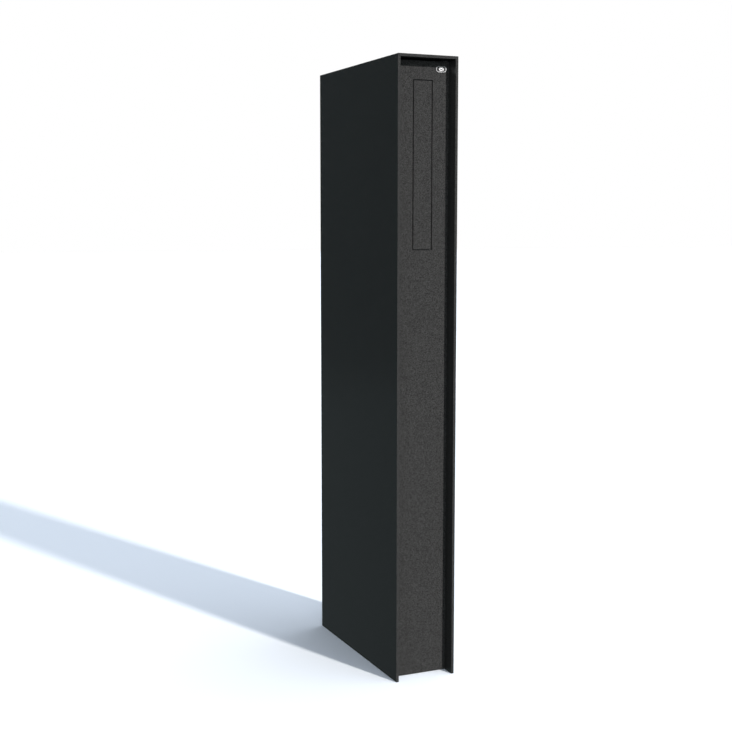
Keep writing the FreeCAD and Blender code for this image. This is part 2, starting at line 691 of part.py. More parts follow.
def flap_spring():
    """Torsion spring on the pin: a coil whose upper leg lies on the carrier and lower leg on the other side.

    Both legs leave the coil on the line just behind the carrier, square to the pin. Where that line passes
    nearer to the pin than the coil's turns, the coil is wound on until it crosses the line.
    """
    wire = value("spring_wire_radius")
    line = value(SPRING_LINE)
    radius = max(line, value(SPRING_COIL))
    wound_on = math.acos(line / radius)
    pitch = value("spring_pitch")
    height = value(SPRING_HEIGHT) + pitch * wound_on / math.pi
    path = Part.Wire(Part.makeHelix(pitch, height, radius))
    profile = Part.Wire(Part.makeCircle(wire, FreeCAD.Vector(radius, 0, 0), FreeCAD.Vector(0, 1, 0)))
    coil = path.makePipeShell([profile], True, True)
    coil.rotate(FreeCAD.Vector(), FreeCAD.Vector(0, 0, 1), -math.degrees(wound_on))
    aside = radius * math.sin(wound_on)
    start = FreeCAD.Vector(line, -aside, 0)
    end = FreeCAD.Vector(line, aside, height)
    leg = value("spring_leg") - aside
    legs = [
        Part.makeCylinder(wire, leg, start, FreeCAD.Vector(0, -1, 0)),
        Part.makeCylinder(wire, leg, end, FreeCAD.Vector(0, 1, 0)),
        Part.makeSphere(wire, start),
        Part.makeSphere(wire, end),
    ]
    spring = doc.addObject("Part::Feature", "flap_spring")
    spring.Shape = coil.fuse(legs).removeSplitter()
    middle = (value(SLOT_TOP) + value(SLOT_BOTTOM) - height) / 2
    spring.Placement = FreeCAD.Placement(
        FreeCAD.Vector(value(FLAP_PIVOT_X), value(FLAP_PIVOT_Y), middle),
        FreeCAD.Rotation(FreeCAD.Vector(0, 0, 1), -90),
    )
    node(spring)


# ---------------------------------------------------------------------------------------------------------
# Shelf
# ---------------------------------------------------------------------------------------------------------
def shelf_screw_places():
    """Left or right side and distance from the shelf's front, for each screw."""
    distances = ("shelf_screw_end_inset", f"({SHELF_DEPTH} - shelf_screw_end_inset)")
    return [(right_side, distance) for right_side in (False, True) for distance in distances]


def mail_shelf():
    """Sheet with a lip turned down at the front and a lip turned up at the rear."""
    rear_inside = f"({SHELF_DEPTH} - shelf_sheet)"
    under = "(shelf_front_lip - shelf_sheet)"
    crest = "(shelf_front_lip + shelf_rear_lip)"
    section = [
        ("0", "0"),
        ("shelf_sheet", "0"),
        ("shelf_sheet", under),
        (SHELF_DEPTH, under),
        (SHELF_DEPTH, crest),
        (rear_inside, crest),
        (rear_inside, "shelf_front_lip"),
        ("0", "shelf_front_lip"),
    ]
    half = f"({INNER_HALF} - shelf_side_gap)"
    position = (f"-{half}", SHELF_FRONT, "(shelf_height - shelf_front_lip)")
    shelf = node(new_body("mail_shelf", position, "YZ_Plane", f"(2 * {half})", [section]))
    holes = []
    for right_side, distance in shelf_screw_places():
        near = "(stud_inset - shelf_side_gap)"
        x = f"(2 * {half} - {near})" if right_side else near
        holes.append((x, distance, "(shelf_screw_radius + shelf_screw_clearance)"))
    cut_from_plane(shelf, "XY_Plane", circles=holes)


def shelf_brackets():
    """Angle bars on the side plates, under the shelf."""
    z = "(shelf_height - shelf_sheet - rail_leg)"
    length = f"({SHELF_DEPTH} - 2 * shelf_bracket_inset)"
    for label, right_side in (("shelf_bracket_left", False), ("shelf_bracket_right", True)):
        x = f"({INNER_HALF} - rail_leg)" if right_side else f"-{INNER_HALF}"
        section = angle_section("rail_leg", "rail_leg", "rail_sheet", right_side, True)
        position = (x, f"({SHELF_FRONT} + shelf_bracket_inset)", z)
        bar = node(new_body(label, position, "XZ_Plane", length, [section]))
        hole_x = "(rail_leg - stud_inset)" if right_side else "stud_inset"
        holes = [
            (hole_x, f"({distance} - shelf_bracket_inset)", "(shelf_screw_radius + shelf_screw_clearance)")
            for side, distance in shelf_screw_places() if side == right_side
        ]
        cut_from_plane(bar, "XY_Plane", circles=holes)


def shelf_screws():
    """Screws down through the shelf into its brackets."""
    screws = []
    for right_side, distance in shelf_screw_places():
        sign = "" if right_side else "-"
        x = f"{sign}({INNER_HALF} - stud_inset)"
        y = f"({SHELF_FRONT} + {distance})"
        foot = (x, y, "(shelf_height - shelf_screw_length)")
        shank = cylinder("shelf_screw_shank", "shelf_screw_radius", "shelf_screw_length", foot)
        top = (x, y, "shelf_height")
        head = cylinder("shelf_screw_head", "shelf_screw_head_radius", "shelf_screw_head_height", top)
        screws.append(fuse("shelf_screw", shank, head))
    node(group("shelf_screws", screws))


# ---------------------------------------------------------------------------------------------------------
# Rear door and its hinges
# ---------------------------------------------------------------------------------------------------------
def rear_door():
    """Shallow pan with folded edges, drilled for the lock."""
    width = f"(2 * {DOOR_HALF})"
    outline = rectangle("0", "0", width, DOOR_HEIGHT)
    position = (f"-{DOOR_HALF}", DOOR_EDGE, "door_floor_gap")
    door = node(new_body("rear_door", position, "XZ_Plane", "door_return", [outline]))
    hollow = rectangle("door_sheet", "door_sheet", f"({width} - door_sheet)", f"({DOOR_HEIGHT} - door_sheet)")
    cut_from_plane(door, "XZ_Plane", polygons=[hollow], depth="(door_return - door_sheet)")
    lock_hole = ("lock_inset", "(lock_height - door_floor_gap)", "(lock_body_radius + lock_hole_clearance)")
    cut_from_plane(door, "XZ_Plane", circles=[lock_hole])


def door_seal():
    """Rubber frame on the rear rails, under the door's folded edges."""
    width = f"(2 * {DOOR_HALF} + 2 * door_seal_lap)"
    height = f"({DOOR_HEIGHT} + 2 * door_seal_lap)"
    outer = rectangle("0", "0", width, height)
    inner = rectangle(
        "door_seal_width", "door_seal_width", f"({width} - door_seal_width)", f"({height} - door_seal_width)"
    )
    position = (f"-({DOOR_HALF} + door_seal_lap)", REAR_RAIL_FACE, "(door_floor_gap - door_seal_lap)")
    thickness = "(door_rebate - door_seal_clearance)"
    node(new_body("door_seal", position, "XZ_Plane", thickness, [outer, inner]))


def door_buffers():
    """Rubber stops on the left rear rail that the closed door rests on."""
    length = "(door_rebate + door_return - door_sheet - buffer_clearance)"
    x = f"-({INNER_HALF} - buffer_inset)"
    buffers = [
        cylinder("door_buffer", "buffer_radius", length, (x, REAR_RAIL_FACE, z), ALONG_Y)
        for z in ("(door_floor_gap + buffer_end_inset)", f"({DOOR_TOP} - buffer_end_inset)")
    ]
    node(group("door_buffers", buffers))


def door_hinge(name, index):
    """Weld-on hinge: barrel on the side plate, pin, washer and barrel on the door."""
    spare = f"(overall_height - 2 * hinge_end_inset - {HINGE_HEIGHT})"
    foot = f"(hinge_end_inset + {spare} * {index} / {len(DOOR_HINGES) - 1})"
    moving_foot = f"({foot} + hinge_half + hinge_washer_sheet + hinge_axial_gap)"
    bore = "(hinge_pin_radius + running_clearance)"

    fixed_pad = box(
        "hinge_wall_pad",
        ("hinge_standoff", "hinge_pad", "hinge_half"),
        (HINGE_X, f"({HINGE_Y} - hinge_pad / 2)", foot),
    )
    fixed_barrel = cylinder("hinge_wall_barrel", "hinge_radius", "hinge_half", (HINGE_X, HINGE_Y, foot))
    seat = f"({foot} + hinge_cap)"
    fixed_bore = cylinder("hinge_wall_bore", bore, HINGE_BORE, (HINGE_X, HINGE_Y, seat))
    node(cut(f"door_hinge_base_{name}", fuse("hinge_wall_blank", fixed_pad, fixed_barrel), fixed_bore))

    moving_pad = box(
        "hinge_door_pad",
        ("hinge_pad", "hinge_standoff", "hinge_half"),
        (f"({HINGE_X} - hinge_pad / 2)", DOOR_FACE, moving_foot),
    )
    moving_barrel = cylinder(
        "hinge_door_barrel", "hinge_radius", "hinge_half", (HINGE_X, HINGE_Y, moving_foot)
    )
    moving_bore = cylinder("hinge_door_bore", bore, HINGE_BORE, (HINGE_X, HINGE_Y, moving_foot))
    node(cut(f"door_hinge_leaf_{name}", fuse("hinge_door_blank", moving_pad, moving_barrel), moving_bore))

    pin_length = f"({moving_foot} + {HINGE_BORE} - hinge_pin_top_gap - {seat})"
    node(cylinder(f"door_hinge_pin_{name}", "hinge_pin_radius", pin_length, (HINGE_X, HINGE_Y, seat)))
    washer_place = (HINGE_X, HINGE_Y, f"({foot} + hinge_half)")
    node(ring(f"door_hinge_washer_{name}", "hinge_radius", bore, "hinge_washer_sheet", washer_place))


# ---------------------------------------------------------------------------------------------------------
# Cam lock
# ---------------------------------------------------------------------------------------------------------
def lock_body():
    """Flanged barrel through the door."""
    inner_end = f"({CAM_FACE} + cam_gap)"
    at_door = (LOCK_X, DOOR_FACE, "lock_height")
    flange = cylinder("lock_flange", "lock_flange_radius", "lock_flange_sheet", at_door, ALONG_Y)
    length = f"({DOOR_FACE} - {inner_end})"
    barrel = cylinder(
        "lock_barrel", "lock_body_radius", length, (LOCK_X, inner_end, "lock_height"), ALONG_Y
    )
    bore = cylinder(
        "lock_bore",
        "(plug_radius + running_clearance)",
        f"({length} + lock_flange_sheet)",
        (LOCK_X, inner_end, "lock_height"),
        ALONG_Y,
    )
    node(cut("lock_body", fuse("lock_blank", flange, barrel), bore))


def lock_nut():
    """Nut that clamps the lock to the door from inside."""
    position = (LOCK_X, f"({DOOR_FACE} - door_sheet - lock_nut_height)", "lock_height")
    bore = "(lock_body_radius + lock_hole_clearance)"
    node(hexagon_nut("lock_nut", "lock_nut_radius", bore, "lock_nut_height", position))


def lock_plug():
    """Plug that the key turns, with its key slot and the cam screw's hole."""
    length = f"({DOOR_FACE} + lock_flange_sheet - {CAM_FACE})"
    blank = cylinder("plug_blank", "plug_radius", length, (LOCK_X, CAM_FACE, "lock_height"), ALONG_Y)
    key_slot = box(
        "plug_key_slot",
        ("key_slot_width", "key_slot_depth", "key_slot_height"),
        (
            f"({LOCK_X} - key_slot_width / 2)",
            f"({DOOR_FACE} + lock_flange_sheet - key_slot_depth)",
            "(lock_height - key_slot_height / 2)",
        ),
    )
    screw_hole = cylinder(
        "plug_screw_hole",
        "(cam_screw_radius + running_clearance)",
        "cam_screw_depth",
        (LOCK_X, CAM_FACE, "lock_height"),
        ALONG_Y,
    )
    node(cut("lock_plug", blank, group("plug_cuts", [key_slot, screw_hole])))


def lock_cam():
    """Cam on the plug's inner end; it hangs down while the door is unlocked."""
    y = f"({CAM_FACE} - cam_sheet)"
    arm = box(
        "cam_arm",
        ("(2 * cam_half_width)", "cam_sheet", "cam_reach"),
        (f"({LOCK_X} - cam_half_width)", y, "(lock_height - cam_reach)"),
    )
    boss = cylinder("cam_boss", "cam_half_width", "cam_sheet", (LOCK_X, y, "lock_height"), ALONG_Y)
    hole = cylinder(
        "cam_hole",
        "(cam_screw_radius + running_clearance)",
        "cam_sheet",
        (LOCK_X, y, "lock_height"),
        ALONG_Y,
    )
    node(cut("lock_cam", fuse("cam_blank", arm, boss), hole))


def lock_cam_screw():
    """Screw that holds the cam on the plug."""
    cam_back = f"({CAM_FACE} - cam_sheet)"
    head = cylinder(
        "cam_screw_head",
        "cam_screw_head_radius",
        "cam_screw_head_height",
        (LOCK_X, f"({cam_back} - cam_screw_head_height)", "lock_height"),
        ALONG_Y,
    )
    shank = cylinder(
        "cam_screw_shank",
        "cam_screw_radius",
        "(cam_sheet + cam_screw_depth)",
        (LOCK_X, cam_back, "lock_height"),
        ALONG_Y,
    )
    node(fuse("lock_cam_screw", head, shank))


# ---------------------------------------------------------------------------------------------------------
# Build, check and write
# ---------------------------------------------------------------------------------------------------------
def check_model():
    """Stop if any object failed or any sub-part has no sound shape."""
    for item in doc.Objects:
        if "Invalid" in item.State or "Error" in item.State:
            raise RuntimeError(f"{item.Label} failed: {item.State}")
    for item in nodes:
        if item.Shape.isNull() or not item.Shape.isValid():
            raise RuntimeError(f"{item.Label} has no valid shape")


def write_steps():
    """One STEP file for each sub-part, named by its label."""
    os.makedirs("parts", exist_ok=True)
    for item in nodes:
        item.Shape.exportStep(f"parts/{item.Label}.step")


fill_sheet()
shell_plates()
base_plate()
front_rails()
rear_frame()
front_panel()
front_panel_fixings()
badge_plate()
flap_plate()
flap_carrier()
flap_seal()
flap_bracket("flap_bracket_upper", upper=True)
flap_bracket("flap_bracket_lower", upper=False)
flap_bracket_fixings()
flap_hinge()
flap_spring()
mail_shelf()
shelf_brackets()
shelf_screws()
rear_door()
door_seal()
door_buffers()
for number, hinge_name in enumerate(DOOR_HINGES):
    door_hinge(hinge_name, number)
lock_body()
lock_nut()
lock_plug()
lock_cam()
lock_cam_screw()
doc.recompute()
check_model()
write_steps()
print(f"{len(nodes)} sub-parts written")
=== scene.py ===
import json
import math

import bmesh
import bpy
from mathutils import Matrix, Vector

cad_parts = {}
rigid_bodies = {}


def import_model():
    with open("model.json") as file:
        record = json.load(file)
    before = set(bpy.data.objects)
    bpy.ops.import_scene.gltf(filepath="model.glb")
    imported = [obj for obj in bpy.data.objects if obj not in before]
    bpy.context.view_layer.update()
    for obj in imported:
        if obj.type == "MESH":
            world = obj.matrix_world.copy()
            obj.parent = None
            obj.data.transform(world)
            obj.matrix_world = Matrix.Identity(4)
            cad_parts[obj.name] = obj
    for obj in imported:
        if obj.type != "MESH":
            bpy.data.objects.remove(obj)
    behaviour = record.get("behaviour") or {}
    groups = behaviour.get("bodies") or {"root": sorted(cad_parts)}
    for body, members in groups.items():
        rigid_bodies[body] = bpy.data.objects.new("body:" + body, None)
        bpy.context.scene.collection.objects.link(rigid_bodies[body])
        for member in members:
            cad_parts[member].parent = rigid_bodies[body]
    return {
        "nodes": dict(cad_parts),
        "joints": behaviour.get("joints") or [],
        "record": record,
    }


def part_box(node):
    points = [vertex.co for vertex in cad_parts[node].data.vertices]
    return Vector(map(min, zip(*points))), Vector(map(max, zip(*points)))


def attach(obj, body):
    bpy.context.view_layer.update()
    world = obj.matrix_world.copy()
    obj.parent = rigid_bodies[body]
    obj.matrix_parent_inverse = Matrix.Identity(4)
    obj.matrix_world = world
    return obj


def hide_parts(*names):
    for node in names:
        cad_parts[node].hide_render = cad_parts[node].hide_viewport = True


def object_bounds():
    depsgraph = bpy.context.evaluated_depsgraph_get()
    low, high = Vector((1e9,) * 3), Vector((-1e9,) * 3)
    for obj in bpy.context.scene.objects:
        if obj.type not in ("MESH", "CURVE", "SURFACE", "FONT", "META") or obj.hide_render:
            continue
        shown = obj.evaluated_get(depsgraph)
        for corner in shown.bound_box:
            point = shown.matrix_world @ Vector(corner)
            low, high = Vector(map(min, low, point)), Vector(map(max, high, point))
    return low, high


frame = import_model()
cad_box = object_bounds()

MM = 0.001
NODES = frame["nodes"]
SLOT_OF = {part["node"]: part["material_slot"] for part in frame["record"]["subparts"]}
PLATE = 5.5 * MM
SAME = 0.001 * MM  # places this close are one; where meshes are merged, a few times as much
SHARP = 35  # degrees: an edge that turns by more is an edge of the shape, not of a curve


# ---------------------------------------------------------------- finishes


# How the grain of a finish is scaled by axis: scratches that run along x or z, hairlines, rings round z.
ALONG_X, ALONG_Z, HAIRLINE_Z, ROUND_Z = (0.06, 1, 1), (1, 1, 0.06), (1, 1, 0.12), (1, 1, 6)


class Finish:
    """One material: a Principled shader, and short calls for the nodes that the finishes share."""

    def __init__(self, name, colour, metallic=0.0, roughness=0.5):
        self.material = bpy.data.materials.new(name)
        self.material.use_nodes = True
        self.tree = self.material.node_tree
        self.tree.nodes.clear()
        self.shader = self.add("ShaderNodeBsdfPrincipled")
        self.shader.inputs["Base Color"].default_value = (*colour, 1)
        self.shader.inputs["Metallic"].default_value = metallic
        self.shader.inputs["Roughness"].default_value = roughness
        output = self.add("ShaderNodeOutputMaterial")
        self.link(self.shader.outputs["BSDF"], output.inputs["Surface"])
        self.place = self.add("ShaderNodeTexCoord").outputs["Object"]
        self.normal = None

    def add(self, kind, **settings):
        node = self.tree.nodes.new(kind)
        for name, value in settings.items():
            setattr(node, name, value)
        return node

    def link(self, source, target):
        self.tree.links.new(source, target)

    def stretched(self, scale):
        """The place on the object, scaled by axis, for grain that runs one way."""
        node = self.add("ShaderNodeMapping")
        node.inputs["Scale"].default_value = scale
        self.link(self.place, node.inputs["Vector"])
        return node.outputs["Vector"]

    def noise(self, size, detail=2.0, rough=0.5, place=None):
        """Noise whose lumps are about this many metres across."""
        node = self.add("ShaderNodeTexNoise")
        node.inputs["Scale"].default_value = 1 / size
        node.inputs["Detail"].default_value = detail
        node.inputs["Roughness"].default_value = rough
        self.link(place or self.place, node.inputs["Vector"])
        return node.outputs["Fac"]

    def cells(self, size):
        """A random grey for each cell of about this many metres."""
        node = self.add("ShaderNodeTexVoronoi")
        node.inputs["Scale"].default_value = 1 / size
        self.link(self.place, node.inputs["Vector"])
        grey = self.add("ShaderNodeSeparateColor")
        self.link(node.outputs["Color"], grey.inputs["Color"])
        return grey.outputs["Red"]

    def rescaled(self, source, low, high, from_low=0.3, from_high=0.7):
        """The source, spread from its own usual range (noise keeps near the middle) to another."""
        node = self.add("ShaderNodeMapRange")
        node.inputs["From Min"].default_value = from_low
        node.inputs["From Max"].default_value = from_high
        node.inputs["To Min"].default_value = low
        node.inputs["To Max"].default_value = high
        self.link(source, node.inputs["Value"])
        return node.outputs["Result"]

    def blended(self, factor, first, second):
        """A colour between two colours, each a triple or a node's output."""
        node = self.add("ShaderNodeMix", data_type="RGBA")
        self.link(factor, node.inputs["Factor"])
        for value, target in ((first, node.inputs["A"]), (second, node.inputs["B"])):
            if isinstance(value, tuple):
                target.default_value = (*value, 1)
            else:
                self.link(value, target)
        return node.outputs["Result"]

    def colour(self, source):
        """Takes the base colour from a node's output."""
        self.link(source, self.shader.inputs["Base Color"])

    def roughness(self, source, low, high):
        """Lets the roughness follow the source, between two values."""
        self.link(self.rescaled(source, low, high), self.shader.inputs["Roughness"])

    def bump(self, source, height):
        """Adds relief, this many metres from the source's black to its white, over any already there."""
        node = self.add("ShaderNodeBump")
        node.inputs["Strength"].default_value = 1.0
        node.inputs["Distance"].default_value = height
        self.link(source, node.inputs["Height"])
        if self.normal:
            self.link(self.normal, node.inputs["Normal"])
        self.normal = node.outputs["Normal"]
        self.link(self.normal, self.shader.inputs["Normal"])


def shade(colour, factor):
    """The same hue, darker or lighter."""
    return tuple(channel * factor for channel in colour)


def powder_coat(name, colour, roughness, relief, lacquer):
    """Textured powder coat: a sandy relief, light on its grains and dark between, under an even lacquer.

    The light grains drift a little from place to place, and the dark gaps vary with a finer grain.
    """
    finish = Finish(name, colour, roughness=roughness)
    shader = finish.shader.inputs
    shader["Specular IOR Level"].default_value = 0.25
    shader["Coat Weight"].default_value = lacquer
    shader["Coat Roughness"].default_value = 0.16
    grain = finish.noise(0.8 * MM, detail=3, rough=0.6)
    sand = finish.noise(1.1 * MM, detail=3, rough=0.7)
    drift = finish.noise(90 * MM, detail=3)
    bright = finish.blended(finish.rescaled(drift, 0, 1), shade(colour, 1.7), shade(colour, 1.8))
    dark = finish.blended(finish.rescaled(grain, 0, 1), shade(colour, 0.2), shade(colour, 0.35))
    finish.colour(finish.blended(finish.rescaled(sand, 0, 1, 0.4, 0.6), dark, bright))
    finish.roughness(grain, roughness - 0.06, roughness + 0.06)
    finish.bump(sand, relief)
    finish.bump(grain, relief * 0.3)
    return finish


def brushed(name, colour, roughness, direction):
    """Metal with fine scratches that run one way, and a slight stain."""
    finish = Finish(name, colour, metallic=1.0, roughness=roughness)
    scratches = finish.noise(0.35 * MM, detail=3, rough=0.65, place=finish.stretched(direction))
    stain = finish.noise(14 * MM, detail=3)
    finish.colour(finish.blended(finish.rescaled(stain, 0, 1), shade(colour, 0.88), shade(colour, 1.06)))
    finish.roughness(scratches, roughness - 0.08, roughness + 0.12)
    finish.bump(scratches, 0.012 * MM)
    return finish


def zinc(name, colour):
    """Zinc plating: a dull spangle of crystals, cloudy patches and a fine tooth."""
    finish = Finish(name, colour, metallic=1.0, roughness=0.45)
    spangle = finish.cells(5 * MM)
    cloud = finish.noise(20 * MM, detail=3)
    tooth = finish.noise(0.7 * MM, detail=2)
    dull = finish.blended(finish.rescaled(spangle, 0, 1, 0, 1), shade(colour, 0.82), shade(colour, 1.08))
    finish.colour(finish.blended(finish.rescaled(cloud, 0, 0.35), dull, (0.62, 0.64, 0.66)))
    finish.roughness(spangle, 0.38, 0.55)
    finish.bump(tooth, 0.02 * MM)
    return finish


def oiled_spring(name, colour):
    """Drawn spring wire under an uneven film of oil."""
    finish = Finish(name, colour, metallic=1.0, roughness=0.35)
    film = finish.noise(2.5 * MM, detail=3)
    drawn = finish.noise(0.3 * MM, detail=2)
    finish.colour(finish.blended(finish.rescaled(film, 0, 1), shade(colour, 0.7), shade(colour, 1.15)))
    finish.roughness(film, 0.22, 0.45)
    finish.bump(drawn, 0.008 * MM)
    return finish


def turned_brass(name, colour):
    """Brass with tooling lines round it, tarnished in patches."""
    finish = Finish(name, colour, metallic=1.0, roughness=0.32)
    tarnish = finish.noise(3 * MM, detail=4, rough=0.6)
    tooling = finish.noise(0.25 * MM, detail=2, place=finish.stretched(ROUND_Z))
    finish.colour(finish.blended(finish.rescaled(tarnish, 0, 1), shade(colour, 0.72), shade(colour, 1.05)))
    finish.roughness(tarnish, 0.25, 0.45)
    finish.bump(tooling, 0.01 * MM)
    return finish


def plated(name, colour):
    """Bright plating with hairline scratches and finger haze."""
    finish = Finish(name, colour, metallic=1.0, roughness=0.14)
    haze = finish.noise(6 * MM, detail=4, rough=0.6)
    hairlines = finish.noise(0.3 * MM, detail=3, place=finish.stretched(HAIRLINE_Z))
    finish.colour(finish.blended(finish.rescaled(haze, 0, 1), shade(colour, 0.94), colour))
    finish.roughness(haze, 0.08, 0.24)
    finish.bump(hairlines, 0.004 * MM)
    return finish


def rubber(name, colour):
    """Matt foam rubber: fine pores, with a dusty bloom in patches."""
    finish = Finish(name, colour, roughness=0.85)
    pores = finish.noise(0.4 * MM, detail=3, rough=0.6)
    bloom = finish.noise(11 * MM, detail=3)
    finish.colour(finish.blended(finish.rescaled(bloom, 0, 1), colour, shade(colour, 1.8)))
    finish.roughness(pores, 0.75, 0.95)
    finish.bump(pores, 0.05 * MM)
    return finish


def enamel(name, colour):
    """Dark enamel with a slight ripple."""
    finish = Finish(name, colour, roughness=0.3)
    ripple = finish.noise(2 * MM, detail=2)
    finish.colour(finish.blended(finish.rescaled(ripple, 0, 1), shade(colour, 0.85), shade(colour, 1.15)))
    finish.roughness(ripple, 0.22, 0.38)
    finish.bump(ripple, 0.01 * MM)
    return finish


ANTHRACITE = (0.0445, 0.0445, 0.0445)
FINISHES = {
    "shell_coat": powder_coat("shell_coat", ANTHRACITE, 0.8, 0.9 * MM, 0.5),
    "panel_coat": powder_coat("panel_coat", ANTHRACITE, 0.8, 1.0 * MM, 0.2),
    "inner_coat": powder_coat("inner_coat", (0.04, 0.041, 0.043), 0.6, 0.15 * MM, 0.3),
    "galvanised_steel": zinc("galvanised_steel", (0.5, 0.51, 0.52)),
    "stainless_steel": brushed("stainless_steel", (0.6, 0.59, 0.57), 0.3, ALONG_Z),
    "spring_steel": oiled_spring("spring_steel", (0.35, 0.35, 0.36)),
    "brass": turned_brass("brass", (0.7, 0.55, 0.27)),
    "lock_chrome": plated("lock_chrome", (0.75, 0.75, 0.76)),
    "seal_rubber": rubber("seal_rubber", (0.02, 0.02, 0.02)),
    "badge_metal": brushed("badge_metal", (0.78, 0.79, 0.8), 0.55, ALONG_X),
}
ENAMEL = enamel("badge_enamel", (0.012, 0.012, 0.013))


# ---------------------------------------------------------------- mesh helpers


def new_piece(name, mesh, body, slot, *nodes):
    """A piece in the frame's own coordinates that rides on a body and stands for these CAD nodes."""
    piece = bpy.data.objects.new(name, mesh)
    bpy.context.scene.collection.objects.link(piece)
    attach(piece, body)
    if nodes:
        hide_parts(*nodes)
    mesh.materials.append(FINISHES[slot].material)
    return piece


def mesh_from(bm, name, sharp=SHARP):
    """The finished mesh, smooth but for edges that turn by more than `sharp` degrees and aren't rounded."""
    bmesh.ops.recalc_face_normals(bm, faces=bm.faces)
    weight = bm.edges.layers.float.get("bevel_weight_edge")
    for face in bm.faces:
        face.smooth = True
    for edge in bm.edges:
        rounded = weight is not None and edge[weight] > 0
        edge.smooth = rounded or edge.calc_face_angle(0) < math.radians(sharp)
    mesh = bpy.data.meshes.new(name)
    bm.to_mesh(mesh)
    bm.free()
    return mesh


def rounded_edges(piece, width, segments=3, by_weight=False):
    """Rounds the sharp edges, or those with a bevel weight, and shades the flats flat."""
    bevel = piece.modifiers.new("rounded", "BEVEL")
    bevel.width = width
    bevel.segments = segments
    bevel.limit_method = "WEIGHT" if by_weight else "ANGLE"
    bevel.angle_limit = math.radians(SHARP)
    bevel.use_clamp_overlap = True
    bevel.miter_outer = "MITER_ARC"
    piece.modifiers.new("shading", "WEIGHTED_NORMAL").keep_sharp = True


def extruded(outline, along, start, end):
    """A closed solid from a list of points, drawn out along one axis ("x", "y" or "z")."""
    axis = "xyz".index(along)
    others = [index for index in range(3) if index != axis]
    bm = bmesh.new()
    rims = []
    for place in (start, end):
        rim = []
        for first, second in outline:
            point = [0, 0, 0]
            point[axis] = place
            point[others[0]] = first
            point[others[1]] = second
            rim.append(bm.verts.new(point))
        rims.append(rim)
    count = len(outline)
    for index in range(count):
        after = (index + 1) % count
        bm.faces.new((rims[0][index], rims[0][after], rims[1][after], rims[1][index]))
    bm.faces.new(rims[0][::-1])
    bm.faces.new(rims[1])
    return bm


def rounded_outline(half_width, half_height, radius):
    """Points round a rectangle with round corners, about the middle."""
    steps = 6
    points = []
    for quarter, (side_x, side_z) in enumerate(((1, 1), (-1, 1), (-1, -1), (1, -1))):
        for step in range(steps + 1):
            turn = math.radians(90 * (quarter + step / steps))
            points.append((
                side_x * (half_width - radius) + radius * math.cos(turn),
                side_z * (half_height - radius) + radius * math.sin(turn),
            ))
    return points


def lofted(bm, loops, closed=False):
    """Joins loops of as many points each by a skin.

    The two ends are capped, unless the last loop joins the first.
    """
    rings = [[bm.verts.new(point) for point in loop] for loop in loops]
    pairs = list(zip(rings, rings[1:]))
    if closed:
        pairs.append((rings[-1], rings[0]))
    for first, second in pairs:
        for index, vert in enumerate(first):
            after = (index + 1) % len(first)
            bm.faces.new((vert, first[after], second[after], second[index]))
    if not closed:
        bm.faces.new(rings[0][::-1])
        bm.faces.new(rings[-1])


def swept(bm, path, section):
    """Carries a section, a list of (across, up), along a path of (point, across, up, scale)."""
    loops = [
        [point + across * (u * scale) + up * (v * scale) for u, v in section]
        for point, across, up, scale in path
    ]
    lofted(bm, loops)


def circle(radius, steps):
    """Points round a circle about the middle."""
    turns = [math.tau * step / steps for step in range(steps)]
    return [(radius * math.cos(turn), radius * math.sin(turn)) for turn in turns]


def solids(node):
    """The corners (low, high) of each separate solid of a CAD node, from the lowest up."""
    bm = bmesh.new()
    bm.from_mesh(NODES[node].data)
    bmesh.ops.remove_doubles(bm, verts=bm.verts, dist=10 * SAME)
    unseen = set(bm.verts)
    boxes = []
    while unseen:
        reached = [unseen.pop()]
        for vert in reached:
            for edge in vert.link_edges:
                other = edge.other_vert(vert)
                if other in unseen:
                    unseen.remove(other)
                    reached.append(other)
        along = list(zip(*(vert.co for vert in reached)))
        boxes.append((Vector([min(values) for values in along]), Vector([max(values) for values in along])))
    bm.free()
    return sorted(boxes, key=lambda box: (round(box[0].z, 5), round(box[0].x, 5)))


# ---------------------------------------------------------------- shell


def shell_plates():
    """The two sides and the top: 5.5 mm plates, mitred, with the welded outer corners dressed round."""
    low, high = cad_box
    radius, rounding = 0.8 * MM, 0.25 * MM
    arc = [math.radians(45 * step / 4) for step in range(5)]
    corner_x, corner_z = high.x - radius, high.z - radius
    dressed = [(corner_x + radius * math.cos(turn), corner_z + radius * math.sin(turn)) for turn in arc]
    inner = (high.x - PLATE, high.z - PLATE)
    right = [(inner[0], 0), (high.x, 0), *dressed, inner]
    left = [(-x, z) for x, z in right]
    over = [(corner_x + radius * math.sin(turn), corner_z + radius * math.cos(turn)) for turn in arc]
    top = [inner, *over[::-1], *[(-x, z) for x, z in over], (-inner[0], inner[1])]
    for name, node, outline in (
        ("left_side_plate", "left_side_panel", left),
        ("right_side_plate", "right_side_panel", right),
        ("top_plate", "top_panel", top),
    ):
        bm = extruded(outline, "y", low.y, high.y)
        weight = bm.edges.layers.float.new("bevel_weight_edge")
        for edge in bm.edges:
            first, second = (vert.co for vert in edge.verts)
            at_end = abs(first.y - second.y) < SAME
            at_mitre = all(
                abs((high.x - abs(co.x)) - (high.z - co.z)) < SAME and co.z > high.z - PLATE - SAME
                for co in (first, second)
            )
            at_ground = first.z < SAME and second.z < SAME
            edge[weight] = 1.0 if (at_end or at_ground) and not at_mitre else 0.0
        piece = new_piece(name, mesh_from(bm, name), "housing", "shell_coat", node)
        rounded_edges(piece, rounding, by_weight=True)


# ---------------------------------------------------------------- front


